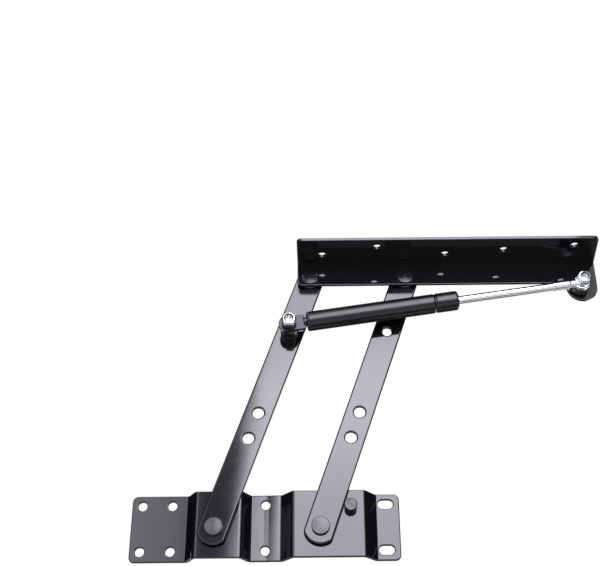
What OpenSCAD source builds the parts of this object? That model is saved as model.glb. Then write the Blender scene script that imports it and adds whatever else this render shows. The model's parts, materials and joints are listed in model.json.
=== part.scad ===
/* [Base plate] */
// Length of the base plate along X
plate_w = 192; // [186:1:200]
// Height of the base plate along Z
plate_h = 48; // [46:0.5:54]
// Thickness of the pressed sheet of plate and top bracket
sheet = 2.5; // [2:0.1:3]
// How far both raised pads stand in front of the flats
pad_rise = 10.5; // [9:0.5:13]
// Radius of the bends along the middle of the sheet
bend_r = 3; // [2.5:0.1:3.5]
// Radius of the plate's outer corners
corner_r = 4; // [2:0.5:6]
// Middle of the rear raised pad
rear_pad_x = -33; // [-34:0.5:-32]
// Width of the rear raised pad at its foot
rear_pad_w = 44; // [42:0.5:46]
// Sideways run of the rear pad's slanted walls
rear_pad_run = 5.8; // [5:0.1:7]
// Middle of the front raised pad
front_pad_x = 45.2; // [44:0.2:46]
// Width of the front raised pad at its foot
front_pad_w = 66.8; // [65:0.2:68]
// Sideways run of the front pad's slanted walls
front_pad_run = 8; // [6:0.1:9]

/* [Plate holes] */
// Diameter of the round screw holes and width of the slots
screw_hole_d = 6.5; // [5:0.1:7]
// Height between the two rows of screw holes
row_gap = 33; // [28:0.5:34]
// Left column of screw holes from the plate's left end
end_hole_x = 7.5; // [7:0.5:9]
// Distance between the two left columns
end_hole_step = 21.5; // [18:0.5:23]
// Middle of the two slots from the plate's right end
slot_x = 10; // [9.5:0.1:10.5]
// Full length of a slot
slot_l = 11; // [8:0.5:12]

/* [Pivots and arms] */
// Rear lower pivot along X
rear_pivot_x = -35.5; // [-37:0.5:-34]
// Both lower pivots along Z
pivot_z = -3.5; // [-5:0.5:0]
// Distance between the two arms' pivots
pivot_gap = 75; // [73:0.5:77]
// Distance between the pivots of one arm
arm_l = 210; // [205:1:220]
// Lean of the raised arms away from upright, in degrees
arm_lean = 19; // [17:0.5:20]
// Width of an arm
arm_w = 21; // [20:0.5:22]
// Thickness of an arm
arm_t = 3; // [2.5:0.1:4]
// Radius of the shallow arc that ends an arm
arm_end_r = 12.5; // [12:0.1:14]
// Diameter of the pivot rivets' shanks
rivet_d = 8; // [7:0.1:9]
// Diameter of the pivot rivets' heads
rivet_head_d = 13; // [12:0.1:14]
// Thickness of the lower rivets' heads
rivet_head_t = 2.5; // [2:0.1:3]
// Thickness of the upper rivets' heads
upper_head_t = 2; // [1.5:0.1:2.2]
// Thickness of the rivets' closed tails
rivet_tail_t = 2.2; // [1.5:0.1:2.5]
// Outer diameter of the washers beside the arms
washer_d = 16; // [14:0.5:17]
// Thickness of the washers between plate and arms
lower_washer_t = 1.4; // [1:0.1:2]
// Thickness of the washers between arms and top bracket
upper_washer_t = 1.9; // [1.5:0.1:2.5]
// Diameter of the two cross rod holes of each arm
rod_hole_d = 8.5; // [6:0.1:9]
// Lower cross rod hole, along the arm from its lower pivot
rod_hole_at = 69.5; // [60:0.5:80]
// Distance between the cross rod holes
rod_hole_step = 21; // [18:0.5:24]
// Strut stud on the rear arm and spare hole on the front arm, from the lower pivot
strut_hole_at = 161; // [158:0.5:163]
// Diameter of the spare hole
spare_hole_d = 7; // [5:0.1:8]

/* [Stop pin] */
// Diameter of the stop pin
stop_d = 9.2; // [8:0.1:10]
// How far the stop pin stands in front of the raised pad
stop_l = 7.5; // [6:0.1:9]
// Stop pin's place along the front arm from its lower pivot
stop_at = 21; // [20:0.5:22]
// Diameter of the stop pin's tail behind the plate
stop_tail_d = 14; // [12:0.1:15]

/* [Top bracket] */
// Length of the top bracket
bracket_l = 235.5; // [230:0.5:240]
// Left end of the top bracket from the rear upper pivot
bracket_back = 10; // [9.5:0.1:12]
// Top face above the upper pivots
bracket_top = 13; // [12:0.1:16]
// Lower edge below the upper pivots
bracket_drop = 7; // [6.6:0.1:7.2]
// Depth of the horizontal flange
flange_depth = 40; // [37:0.5:46]
// Inner radius of the bracket's bend
bracket_bend_r = 2; // [1:0.1:3]
// How much shorter the horizontal flange's right end is at its free edge
end_taper = 4; // [0:0.5:6]
// Strut tab's centre from the bracket's right end, and so the tab's radius
tab_x = 12.1; // [11.5:0.1:13.5]
// Strut tab's centre below the upper pivots
tab_drop = 10.7; // [10:0.1:13]
// Strut's stud from the bracket's right end
tab_pin_x = 14.4; // [13.5:0.1:15.5]
// Strut's stud below the upper pivots
tab_pin_drop = 12.3; // [11.5:0.1:13]
// Fillet between the tab and the bracket's lower edge
tab_fillet = 4; // [2:0.5:5]
// Diameter of the flange's screw holes
flange_hole_d = 6; // [4.5:0.1:6.5]
// Screw hole row nearest to the bend, from the bracket's back
near_row = 19; // [16:0.5:20]
// Middle row of the screw holes
middle_row = 24.5; // [22:0.5:26]
// Screw hole row nearest to the free edge
far_row = 30; // [28:0.5:32]
// First screw hole from the bracket's left end
flange_hole_1 = 19.5; // [18:0.5:21]
// Second screw hole from the bracket's left end
flange_hole_2 = 62; // [58:0.5:66]
// Third screw hole from the bracket's left end
flange_hole_3 = 115.5; // [110:0.5:120]
// Fourth screw hole from the bracket's right end
flange_hole_4 = 75; // [70:0.5:80]
// Fifth screw hole from the bracket's right end
flange_hole_5 = 21; // [18:0.5:25]

/* [Gas strut] */
// Outer diameter of the strut's tube
tube_d = 15; // [14:0.1:15.2]
// Wall of the tube
tube_wall = 1.2; // [1:0.1:1.5]
// Length of the tube
tube_l = 117.5; // [112:0.5:120]
// Start of the tube from the stud's centre
tube_start = 13.6; // [12:0.1:15]
// Rolled groove's distance from the tube's mouth
groove_from_mouth = 18; // [14:0.5:20]
// Depth of the rolled groove
groove_depth = 0.5; // [0.2:0.1:0.6]
// Diameter of the strut's rod
rod_d = 6; // [5:0.1:6.4]
// Distance from the front of the arms to the strut's axis
strut_stand_off = 13.5; // [13.5:0.1:17]
// Thickness of the rod's eye
eye_t = 4.6; // [4:0.1:6]
// Thickness of the tube's flat eye
tube_eye_t = 3; // [2.5:0.1:4]
// Width of the tube's flat eye
tube_eye_w = 12; // [11:0.1:13]
// Diameter of the rounded end of the tube's flat eye
tube_eye_d = 16; // [14:0.1:17]
// Round neck between the flat eye and the tube
neck_l = 1.5; // [1:0.1:2]
// Outer diameter of the rod's eye
rod_eye_d = 12.8; // [12:0.1:15]
// Length of the rod's end fitting, up to the eye's centre
fitting_l = 23; // [22:0.5:27]
// Diameter of the rod's end fitting
fitting_d = 7; // [6.8:0.1:8]
// Thread diameter of the rod's end inside the fitting
thread_d = 4.6; // [4:0.1:5]
// Thread diameter of the studs
stud_d = 6; // [5:0.1:6.4]
// Outer diameter of the black shoulder bushes on the studs
bush_d = 14; // [12:0.1:14]
// Diameter of the studs' riveted tails
stud_tail_d = 10; // [9:0.1:11]
// Thickness of the studs' riveted tails
stud_tail_t = 1.2; // [0.8:0.1:1.4]
// Thickness of the thick washer under the rod's lock nut
nut_washer_t = 3.1; // [2.8:0.1:3.5]
// Outer diameter of the thick washers under the lock nuts
nut_washer_d = 11; // [10.6:0.1:12.5]
// Lock nut's width across flats
nut_af = 10; // [9.6:0.1:11]
// Height of the lock nut's six-sided part
nut_hex_t = 3.4; // [3:0.1:4]
// Height of the lock nut's round collar
nut_collar_t = 1.6; // [1.2:0.1:2]

/* [Fits] */
// Radial clearance where one piece turns or slides on another
run_fit = 0.05; // [0.03:0.01:0.1]
// Radial clearance where one piece sits fast in another
seat_fit = 0.02; // [0.01:0.01:0.03]
// Play between flat faces that turn on each other
face_gap = 0.1; // [0.05:0.05:0.2]
// Clearance of the stop pin and of the strut's front end
open_gap = 0.3; // [0.2:0.05:0.5]

/* [Hidden] */
$fn = 64;

// Depths are measured from the wall plane towards the viewer, along -Y
pad_front = sheet + pad_rise;
arm_back = pad_front + lower_washer_t + face_gap;
arm_front = arm_back + arm_t;
bracket_back_face = arm_front + face_gap + upper_washer_t;
bracket_front = bracket_back_face + sheet;
strut_depth = arm_front + strut_stand_off;
eye_back = strut_depth - eye_t / 2;
eye_front = strut_depth + eye_t / 2;
tube_eye_back = strut_depth - tube_eye_t / 2;
tube_eye_front = strut_depth + tube_eye_t / 2;
nut_back = eye_front + face_gap + nut_washer_t;
nut_front = nut_back + nut_hex_t + nut_collar_t;

// Places in the front view, as [x, z]
rear_low = [rear_pivot_x, pivot_z];
front_low = rear_low + [pivot_gap, 0];
up_arm = [sin(arm_lean), cos(arm_lean)];
across_arm = [cos(arm_lean), -sin(arm_lean)];
rear_high = rear_low + arm_l * up_arm;
front_high = front_low + arm_l * up_arm;
plate_x0 = -plate_w / 2;
plate_x1 = plate_w / 2;
stop_centre = front_low + stop_at * up_arm + (arm_w / 2 + stop_d / 2 + open_gap) * across_arm;
tube_pin = rear_low + strut_hole_at * up_arm;

// The top bracket, measured from its left end
bracket_x0 = rear_high[0] - bracket_back;
bracket_x1 = bracket_x0 + bracket_l;
bracket_z0 = rear_high[1] - bracket_drop;
bracket_z1 = rear_high[1] + bracket_top;
tab_centre = [bracket_x1 - tab_x, rear_high[1] - tab_drop];
tab_pin = [bracket_x1 - tab_pin_x, rear_high[1] - tab_pin_drop];

// The strut runs from the stud on the rear arm to the tab of the top bracket
strut_run = tab_pin - tube_pin;
strut_l = norm(strut_run);
strut_rise = atan2(strut_run[1], strut_run[0]);
tube_inner_r = tube_d / 2 - tube_wall;
mouth = tube_start + tube_l;
lip_t = 1.2;
guide_l = 8;
seal_l = 4;
plug_l = 8;
piston_l = 9;
rest_gap = 3;
guide_end = mouth - lip_t;
piston_end = guide_end - guide_l - seal_l - rest_gap;
fitting_start = strut_l - fitting_l;
thread_l = 9;

// Remaining small details
cut = 1;
edge = 0.5;
hex_corner = 2 / sqrt(3);
stop_shank_d = stop_d - 2;
spigot_d = 7;
spigot_l = 5;
insert_t = 1.4;
insert_wall = 1;
shoulder_gap = 1;

black_paint = "#2b2c30";
steel_black = "#1d1e21";
zinc = "#c9ccd0";
hard_chrome = "#e3e5e8";
nylon = "#3a4a63";
seal_black = "#141414";

// A turned piece at a place in the front view; its profile is [radius, depth]
module turned(place, profile) {
    translate([place[0], 0, place[1]])
        rotate([90, 0, 0])
            rotate_extrude()
                polygon(profile);
}

// A flat piece between two depths, drawn in the front view
module sheet_between(back, front) {
    translate([0, -back, 0])
        rotate([90, 0, 0])
            linear_extrude(front - back)
                children();
}

// A drill through everything between two depths
module drill(place, d, back, front) {
    translate([place[0], -back + cut, place[1]])
        rotate([90, 0, 0])
            cylinder(d = d, h = front - back + 2 * cut);
}

// Everything on the strut: local Z runs from the rear arm's stud to the tab
module along_strut() {
    translate([tube_pin[0], -strut_depth, tube_pin[1]])
        rotate([0, 90 - strut_rise, 0])
            children();
}

function unit(v) = v / norm(v);
function left_of(v) = [-v[1], v[0]];
function turn_by(v, a) = [v[0] * cos(a) - v[1] * sin(a), v[0] * sin(a) + v[1] * cos(a)];

// One side of the bend at corner i of a path: an arc round the bend's centre
function bend_side(path, i, side, steps) =
    let (
        u = unit(path[i] - path[i - 1]),
        v = unit(path[i + 1] - path[i]),
        way = sign(u[0] * v[1] - u[1] * v[0]),
        sweep = acos(u * v),
        centre = path[i] - u * bend_r * tan(sweep / 2) + left_of(u) * way * bend_r,
        r = bend_r - way * side * sheet / 2
    )
    [for (k = [0:steps]) centre + r * turn_by(-way * left_of(u), way * sweep * k / steps)];

// One side of the whole folded strip, from its first end to its last
function strip_side(path, side) =
    let (
        last = len(path) - 1,
        start = path[0] + side * sheet / 2 * left_of(unit(path[1] - path[0])),
        end = path[last] + side * sheet / 2 * left_of(unit(path[last] - path[last - 1]))
    )
    concat(
        [start],
        [for (i = [1:last - 1]) each bend_side(path, i, side, 8)],
        [end]
    );

function reversed(list) = [for (i = [len(list) - 1:-1:0]) list[i]];

// Where a raised pad's middle line leaves and meets the flats
function pad_corners(x, w, run) = [
    [x - w / 2, -sheet / 2],
    [x - w / 2 + run, -sheet / 2 - pad_rise],
    [x + w / 2 - run, -sheet / 2 - pad_rise],
    [x + w / 2, -sheet / 2]
];

plate_path = concat(
    [[plate_x0, -sheet / 2]],
    pad_corners(rear_pad_x, rear_pad_w, rear_pad_run),
    pad_corners(front_pad_x, front_pad_w, front_pad_run),
    [[plate_x1, -sheet / 2]]
);

// What is cut off a square corner to leave a radius; the corner points along sx, sz
module corner_waste(place, r, sx, sz) {
    difference() {
        translate([place[0] - sx * r, place[1] - sz * r])
            scale_square(sx * (r + cut), sz * (r + cut));
        translate([place[0] - sx * r, place[1] - sz * r])
            circle(r);
    }
}

// A rectangle from the origin towards a signed width and height
module scale_square(w, h) {
    translate([min(w, 0), min(h, 0)])
        square([abs(w), abs(h)]);
}

module base_plate() {
    color(black_paint)
        difference() {
            translate([0, 0, -plate_h / 2])
                linear_extrude(plate_h)
                    polygon(concat(strip_side(plate_path, 1), reversed(strip_side(plate_path, -1))));
            for (sx = [-1, 1], sz = [-1, 1])
                sheet_between(-cut, sheet + cut)
                    corner_waste([sx * plate_w / 2, sz * plate_h / 2], corner_r, sx, sz);
            for (x = [plate_x0 + end_hole_x, plate_x0 + end_hole_x + end_hole_step, 0], sz = [-1, 1])
                drill([x, sz * row_gap / 2], screw_hole_d, 0, sheet);
            for (sz = [-1, 1])
                sheet_between(-cut, sheet + cut)
                    slot_outline([plate_x1 - slot_x, sz * row_gap / 2]);
            for (place = [rear_low, front_low])
                drill(place, rivet_d + 2 * seat_fit, pad_rise, pad_front);
            drill(stop_centre, stop_shank_d + 2 * seat_fit, pad_rise, pad_front);
        }
}

module slot_outline(place) {
    half = (slot_l - screw_hole_d) / 2;
    translate([place[0] - half, place[1] - screw_hole_d / 2])
        square([2 * half, screw_hole_d]);
    for (side = [-1, 1])
        translate([place[0] + side * half, place[1]])
            circle(d = screw_hole_d);
}

// The stop pin: tail behind the plate, shank through it, thick pin in front
module stop_pin() {
    tail_back = pad_rise - rivet_tail_t;
    tip = pad_front + stop_l;
    color(black_paint)
        turned(stop_centre, [
            [0, tail_back],
            [stop_tail_d / 2 - edge, tail_back],
            [stop_tail_d / 2, tail_back + edge],
            [stop_tail_d / 2, pad_rise],
            [stop_shank_d / 2, pad_rise],
            [stop_shank_d / 2, pad_front],
            [stop_d / 2, pad_front],
            [stop_d / 2, tip - edge],
            [stop_d / 2 - edge, tip],
            [0, tip]
        ]);
}

// A pivot rivet from the back of its tail to the front of its head
module pivot_rivet(place, tail_face, head_face, head_t) {
    r = rivet_head_d / 2;
    steps = 6;
    dome = [for (k = [0:steps]) [r * sin(90 * k / steps), tail_face - rivet_tail_t * cos(90 * k / steps)]];
    color(steel_black)
        turned(place, concat(dome, [
            [rivet_d / 2, tail_face],
            [rivet_d / 2, head_face],
            [r, head_face],
            [r, head_face + head_t - edge],
            [r - edge, head_face + head_t],
            [0, head_face + head_t]
        ]));
}

module ring(place, inner_d, outer_d, back, front) {
    turned(place, [
        [inner_d / 2, back],
        [outer_d / 2, back],
        [outer_d / 2, front],
        [inner_d / 2, front]
    ]);
}

module lower_rivet(place) {
    pivot_rivet(place, pad_rise, arm_front + face_gap, rivet_head_t);
}

module upper_rivet(place) {
    pivot_rivet(place, arm_back - face_gap, bracket_front, upper_head_t);
}

module lower_washer(place) {
    color(steel_black)
        ring(place, rivet_d + 2 * seat_fit, washer_d, pad_front, pad_front + lower_washer_t);
}

module upper_washer(place) {
    color(steel_black)
        ring(place, rivet_d + 2 * seat_fit, washer_d, bracket_back_face - upper_washer_t, bracket_back_face);
}

// Flat arm: a straight bar whose two ends are shallow arcs round the pivots
module arm_outline() {
    intersection() {
        translate([-arm_w / 2, -arm_end_r])
            square([arm_w, arm_l + 2 * arm_end_r]);
        union() {
            circle(arm_end_r);
            translate([0, arm_l])
                circle(arm_end_r);
            translate([-arm_w / 2, 0])
                square([arm_w, arm_l]);
        }
    }
}

module arm(low, third_hole_d) {
    color(black_paint)
        difference() {
            sheet_between(arm_back, arm_front)
                translate(low)
                    rotate(-arm_lean)
                        arm_outline();
            for (at = [0, arm_l])
                drill(low + at * up_arm, rivet_d + 2 * run_fit, arm_back, arm_front);
            for (at = [rod_hole_at, rod_hole_at + rod_hole_step])
                drill(low + at * up_arm, rod_hole_d, arm_back, arm_front);
            drill(low + strut_hole_at * up_arm, third_hole_d, arm_back, arm_front);
        }
}

module rear_arm() {
    arm(rear_low, stud_d + 2 * seat_fit);
}

module front_arm() {
    arm(front_low, spare_hole_d);
}

// A block in the lower right quarter of its corner, with that one corner rounded
module bent_corner(w, h, r) {
    translate([0, -h])
        square([w, h - r]);
    translate([r, -h])
        square([w - r, h]);
    translate([r, -r])
        circle(r);
}

// Section of the top bracket, drawn as [depth, height] from its outer corner
module angle_section() {
    h = bracket_top + bracket_drop;
    difference() {
        bent_corner(flange_depth, h, bracket_bend_r + sheet);
        translate([sheet, -sheet])
            bent_corner(flange_depth, h, bracket_bend_r);
    }
}

// The strut's tab hangs below the vertical flange, flush with its right end
module tab_outline() {
    overlap = bracket_drop / 2;
    translate(tab_centre)
        circle(tab_x);
    translate([tab_centre[0] - tab_x, tab_centre[1]])
        square([2 * tab_x, bracket_z0 + overlap - tab_centre[1]]);
    difference() {
        translate([tab_centre[0] - tab_x - tab_fillet, bracket_z0 - tab_fillet])
            square([tab_fillet + cut, tab_fillet + overlap]);
        translate([tab_centre[0] - tab_x - tab_fillet, bracket_z0 - tab_fillet])
            circle(tab_fillet);
    }
}

// Plan outline of what is cut off the horizontal flange's right end and free corners
module flange_waste() {
    free_y = -(bracket_back_face + flange_depth);
    slant = atan2(end_taper, flange_depth - sheet);
    polygon([
        [bracket_x1, -bracket_front],
        [bracket_x1 - end_taper - cut * tan(slant), free_y - cut],
        [bracket_x1 + cut, free_y - cut],
        [bracket_x1 + cut, -bracket_front]
    ]);
    corner_waste([bracket_x0, free_y], corner_r, -1, -1);
    corner_waste([bracket_x1 - end_taper, free_y], corner_r, 1, -1);
}

module top_bracket() {
    low_left = [bracket_x0, bracket_z0];
    flange_holes = [
        [bracket_x0 + flange_hole_1, near_row],
        [bracket_x0 + flange_hole_2, far_row],
        [bracket_x0 + flange_hole_3, near_row],
        [bracket_x1 - flange_hole_4, middle_row],
        [bracket_x1 - flange_hole_5, far_row]
    ];
    color(black_paint)
        difference() {
            union() {
                translate([bracket_x1, -bracket_back_face, bracket_z1])
                    rotate([90, 0, -90])
                        linear_extrude(bracket_l)
                            angle_section();
                sheet_between(bracket_back_face, bracket_front)
                    tab_outline();
            }
            sheet_between(bracket_back_face - cut, bracket_front + cut)
                corner_waste(low_left, corner_r, -1, -1);
            translate([0, 0, bracket_z1 - sheet - cut])
                linear_extrude(sheet + 2 * cut)
                    flange_waste();
            for (hole = flange_holes)
                translate([hole[0], -(bracket_back_face + hole[1]), bracket_z1 - sheet - cut])
                    cylinder(d = flange_hole_d, h = sheet + 2 * cut);
            for (place = [rear_high, front_high])
                drill(place, rivet_d + 2 * seat_fit, bracket_back_face, bracket_front);
            drill(tab_pin, stud_d + 2 * seat_fit, bracket_back_face, bracket_front);
        }
}

// Riveted tail of a stud: a dished collar against the back of the sheet that holds it
function stud_tail(face) = [
    [0, face - stud_tail_t / 3],
    [stud_d / 4, face - stud_tail_t / 3],
    [stud_d / 2 - edge, face - stud_tail_t],
    [stud_tail_d / 2 - edge, face - stud_tail_t],
    [stud_tail_d / 2, face - stud_tail_t + edge],
    [stud_tail_d / 2, face],
    [stud_d / 2, face]
];

// Threaded end of a stud, a little short of the lock nut's front
stud_end = nut_front - 1.2;
function stud_tip() = [
    [stud_d / 2, stud_end - edge],
    [stud_d / 2 - edge, stud_end],
    [0, stud_end]
];

module tube_stud() {
    color(zinc)
        turned(tube_pin, concat(stud_tail(arm_back), stud_tip()));
}

module rod_stud() {
    foot = bracket_front + open_gap;
    color(zinc)
        turned(tab_pin, concat([[0, foot], [stud_d / 2, foot]], stud_tip()));
}

module rod_stud_tail() {
    color(zinc)
        turned(tab_pin, concat(
            stud_tail(bracket_back_face),
            [[stud_d / 2, bracket_front], [0, bracket_front]]
        ));
}

// Black shoulder bush with a rounded rim that carries an eye clear of the sheet behind it
module stud_bush(place, back, front) {
    color(steel_black)
        turned(place, [
            [stud_d / 2 + seat_fit, back],
            [bush_d / 2 - edge, back],
            [bush_d / 2, back + edge],
            [bush_d / 2, front - edge],
            [bush_d / 2 - edge, front],
            [stud_d / 2 + seat_fit, front]
        ]);
}

// Thick washer between an eye and its lock nut
module nut_washer(place, back, finish) {
    color(finish)
        ring(place, stud_d + 2 * seat_fit, nut_washer_d, back, nut_back);
}

// Lock nut: chamfered six-sided part, then the round collar that grips the nylon insert
module lock_nut(place) {
    hex_front = nut_back + nut_hex_t;
    collar_r = nut_af / 2 - 0.4;
    corner = nut_af / 2 * hex_corner;
    insert_r = stud_d / 2 + seat_fit + insert_wall + seat_fit;
    color(zinc)
        difference() {
            union() {
                intersection() {
                    sheet_between(nut_back, hex_front)
                        translate(place)
                            circle(corner, $fn = 6);
                    turned(place, [
                        [0, nut_back],
                        [corner - edge / 2, nut_back],
                        [corner, nut_back + edge / 2],
                        [corner, hex_front - edge],
                        [corner - 1.4 * edge, hex_front],
                        [0, hex_front]
                    ]);
                }
                turned(place, [
                    [0, hex_front - cut],
                    [collar_r, hex_front - cut],
                    [collar_r, nut_front - edge],
                    [collar_r - edge, nut_front],
                    [0, nut_front]
                ]);
            }
            drill(place, stud_d + 2 * seat_fit, nut_back, nut_front);
            turned(place, [
                [0, nut_front - insert_t - edge],
                [insert_r, nut_front - insert_t - edge],
                [insert_r, nut_front + cut],
                [0, nut_front + cut]
            ]);
        }
}

module nut_insert(place) {
    inner = stud_d + 2 * seat_fit;
    color(nylon)
        ring(place, inner, inner + 2 * insert_wall, nut_front - insert_t - edge, nut_front - edge);
}

// Tube of the gas strut: rolled groove near the mouth, edge rolled in over the guide
module gas_tube() {
    r = tube_d / 2;
    groove = mouth - groove_from_mouth;
    lip_r = rod_d / 2 + 1.5;
    color(steel_black)
        along_strut()
            rotate_extrude()
                polygon([
                    [tube_inner_r, tube_start],
                    [r - edge, tube_start],
                    [r, tube_start + edge],
                    [r, groove - 1],
                    [r - groove_depth * 0.7, groove - 0.6],
                    [r - groove_depth, groove],
                    [r - groove_depth * 0.7, groove + 0.6],
                    [r, groove + 1],
                    [r, mouth - 2 * edge],
                    [r - edge * 0.6, mouth - edge * 0.6],
                    [r - 2 * edge, mouth],
                    [lip_r, mouth],
                    [lip_r, guide_end],
                    [tube_inner_r, guide_end]
                ]);
}

// A ring on the strut's axis between two distances from the stud
module strut_ring(inner_r, outer_r, start, end) {
    along_strut()
        rotate_extrude()
            polygon([[inner_r, start], [outer_r, start], [outer_r, end], [inner_r, end]]);
}

// Outline of the tube's flat eye: a strip with a rounded end
module flat_eye_outline() {
    translate([-tube_eye_w / 2, 0])
        square([tube_eye_w, tube_start - neck_l]);
    intersection() {
        circle(d = tube_eye_d);
        translate([-tube_eye_w / 2, -tube_eye_d / 2])
            square([tube_eye_w, tube_eye_d]);
    }
}

// Flat eye on the tube's end, with the round neck and spigot that screws into the base plug
module tube_end_eye() {
    neck = tube_start - neck_l;
    color(steel_black)
        along_strut()
            difference() {
                union() {
                    rotate([90, 0, 0])
                        linear_extrude(tube_eye_t, center = true)
                            flat_eye_outline();
                    translate([0, 0, neck - cut])
                        cylinder(d = spigot_d, h = cut + neck_l + spigot_l);
                }
                rotate([90, 0, 0])
                    cylinder(d = stud_d + 2 * run_fit, h = tube_eye_t + 2 * cut, center = true);
            }
}

module tube_base_plug() {
    color(steel_black)
        along_strut()
            rotate_extrude()
                polygon([
                    [spigot_d / 2 + seat_fit, tube_start],
                    [tube_inner_r - seat_fit, tube_start],
                    [tube_inner_r - seat_fit, tube_start + plug_l],
                    [0, tube_start + plug_l],
                    [0, tube_start + spigot_l + seat_fit],
                    [spigot_d / 2 + seat_fit, tube_start + spigot_l + seat_fit]
                ]);
}

module rod_guide() {
    color(steel_black)
        strut_ring(rod_d / 2 + run_fit, tube_inner_r - seat_fit, guide_end - guide_l, guide_end);
}

module rod_seal() {
    front = guide_end - guide_l;
    color(seal_black)
        strut_ring(rod_d / 2 + run_fit, tube_inner_r - seat_fit, front - seal_l, front);
}

module gas_rod() {
    start = piston_end - piston_l;
    color(hard_chrome)
        along_strut() {
            translate([0, 0, start])
                cylinder(d = rod_d, h = fitting_start - start);
            translate([0, 0, fitting_start - cut])
                cylinder(d = thread_d, h = cut + thread_l);
        }
}

// Piston with two lands and a groove between them for its ring
land_r = tube_inner_r - 0.3;
groove_r = tube_inner_r - 1.3;
ring_w = 3;
module piston() {
    start = piston_end - piston_l;
    ring_start = start + (piston_l - ring_w) / 2;
    color(zinc)
        along_strut()
            rotate_extrude()
                polygon([
                    [rod_d / 2 + seat_fit, start],
                    [land_r, start],
                    [land_r, ring_start],
                    [groove_r, ring_start],
                    [groove_r, ring_start + ring_w],
                    [land_r, ring_start + ring_w],
                    [land_r, piston_end],
                    [rod_d / 2 + seat_fit, piston_end]
                ]);
}

module piston_ring() {
    start = piston_end - piston_l + (piston_l - ring_w) / 2;
    color(seal_black)
        strut_ring(groove_r + seat_fit, tube_inner_r - run_fit, start + seat_fit, start + ring_w - seat_fit);
}

// End fitting of the rod: a round socket, milled flat from its shoulder to the eye
module rod_end_eye() {
    shoulder = strut_l - bush_d / 2 - shoulder_gap;
    color(zinc)
        along_strut()
            difference() {
                union() {
                    rotate_extrude()
                        polygon([
                            [0, fitting_start],
                            [fitting_d / 2 - edge, fitting_start],
                            [fitting_d / 2, fitting_start + edge],
                            [fitting_d / 2, shoulder - edge],
                            [fitting_d / 2 - edge, shoulder],
                            [0, shoulder]
                        ]);
                    intersection() {
                        translate([0, 0, shoulder - cut])
                            cylinder(d = fitting_d, h = strut_l - shoulder + cut);
                        translate([-fitting_d, -eye_t / 2, shoulder - cut])
                            cube([2 * fitting_d, eye_t, strut_l - shoulder + 2 * cut]);
                    }
                    translate([0, 0, strut_l])
                        rotate([90, 0, 0])
                            cylinder(d = rod_eye_d, h = eye_t, center = true);
                }
                translate([0, 0, fitting_start - cut])
                    cylinder(d = thread_d + 2 * seat_fit, h = thread_l + cut + seat_fit);
                translate([0, 0, strut_l])
                    rotate([90, 0, 0])
                        cylinder(d = stud_d + 2 * seat_fit, h = eye_t + 2 * cut, center = true);
            }
}

base_plate();
stop_pin();
lower_rivet(rear_low);  // rear_lower_rivet
lower_rivet(front_low);  // front_lower_rivet
lower_washer(rear_low);  // rear_lower_washer
lower_washer(front_low);  // front_lower_washer
rear_arm();
tube_stud();
stud_bush(tube_pin, arm_front, tube_eye_back - face_gap);  // tube_stud_bush
nut_washer(tube_pin, tube_eye_front + face_gap, steel_black);  // tube_stud_washer
lock_nut(tube_pin);  // tube_lock_nut
nut_insert(tube_pin);  // tube_nut_insert
front_arm();
top_bracket();
upper_rivet(rear_high);  // rear_upper_rivet
upper_rivet(front_high);  // front_upper_rivet
upper_washer(rear_high);  // rear_upper_washer
upper_washer(front_high);  // front_upper_washer
rod_stud_tail();
gas_tube();
tube_end_eye();
tube_base_plug();
rod_guide();
rod_seal();
gas_rod();
piston();
piston_ring();
rod_end_eye();
rod_stud();
stud_bush(tab_pin, bracket_front + open_gap, eye_back - face_gap);  // rod_stud_bush
nut_washer(tab_pin, nut_back - nut_washer_t, zinc);  // rod_stud_washer
lock_nut(tab_pin);  // rod_lock_nut
nut_insert(tab_pin);  // rod_nut_insert
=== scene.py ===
# Lift top table mechanism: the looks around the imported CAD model
import json
import math

import bmesh
import bpy
import numpy as np
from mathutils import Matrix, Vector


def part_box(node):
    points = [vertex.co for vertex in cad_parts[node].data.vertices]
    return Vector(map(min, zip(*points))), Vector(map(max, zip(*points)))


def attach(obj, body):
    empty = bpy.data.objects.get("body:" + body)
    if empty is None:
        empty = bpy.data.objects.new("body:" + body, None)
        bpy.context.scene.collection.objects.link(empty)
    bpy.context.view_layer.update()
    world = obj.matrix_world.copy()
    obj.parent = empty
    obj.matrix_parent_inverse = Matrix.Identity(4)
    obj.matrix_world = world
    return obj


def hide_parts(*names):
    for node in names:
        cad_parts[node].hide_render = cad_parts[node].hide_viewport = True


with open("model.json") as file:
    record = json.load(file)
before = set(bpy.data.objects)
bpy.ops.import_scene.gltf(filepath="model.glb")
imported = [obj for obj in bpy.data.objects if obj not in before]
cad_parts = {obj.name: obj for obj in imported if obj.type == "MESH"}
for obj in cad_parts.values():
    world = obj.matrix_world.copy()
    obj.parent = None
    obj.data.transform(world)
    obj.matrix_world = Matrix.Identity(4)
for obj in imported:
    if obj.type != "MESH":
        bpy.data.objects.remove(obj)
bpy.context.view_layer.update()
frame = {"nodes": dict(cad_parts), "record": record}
nodes = frame["nodes"]
mm = 0.001
slotOf = {part["node"]: part["material_slot"] for part in frame["record"]["subparts"]}
bodyOf = {node: body for body, held in frame["record"]["behaviour"]["bodies"].items() for node in held}
print("frame loaded:", len(nodes), "nodes")


def middle(name):
    # middle of a CAD node's box, in mm
    low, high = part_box(name)
    return (np.array(low) + np.array(high)) / 2 / mm


# The strut runs from the stud on the rear arm to the stud at the bracket's tab
towardsViewer = np.array([0.0, -1.0, 0.0])
sideways = np.array([1.0, 0.0, 0.0])
strutStart = middle("tube_stud") * [1, 0, 1] + [0, middle("tube_end_eye")[1], 0]
strutEnd = middle("rod_stud") * [1, 0, 1] + [0, middle("tube_end_eye")[1], 0]
strutLength = float(np.linalg.norm(strutEnd - strutStart))
strutAxis = (strutEnd - strutStart) / strutLength
strutRise = math.atan2(strutAxis[2], strutAxis[0])


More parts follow.
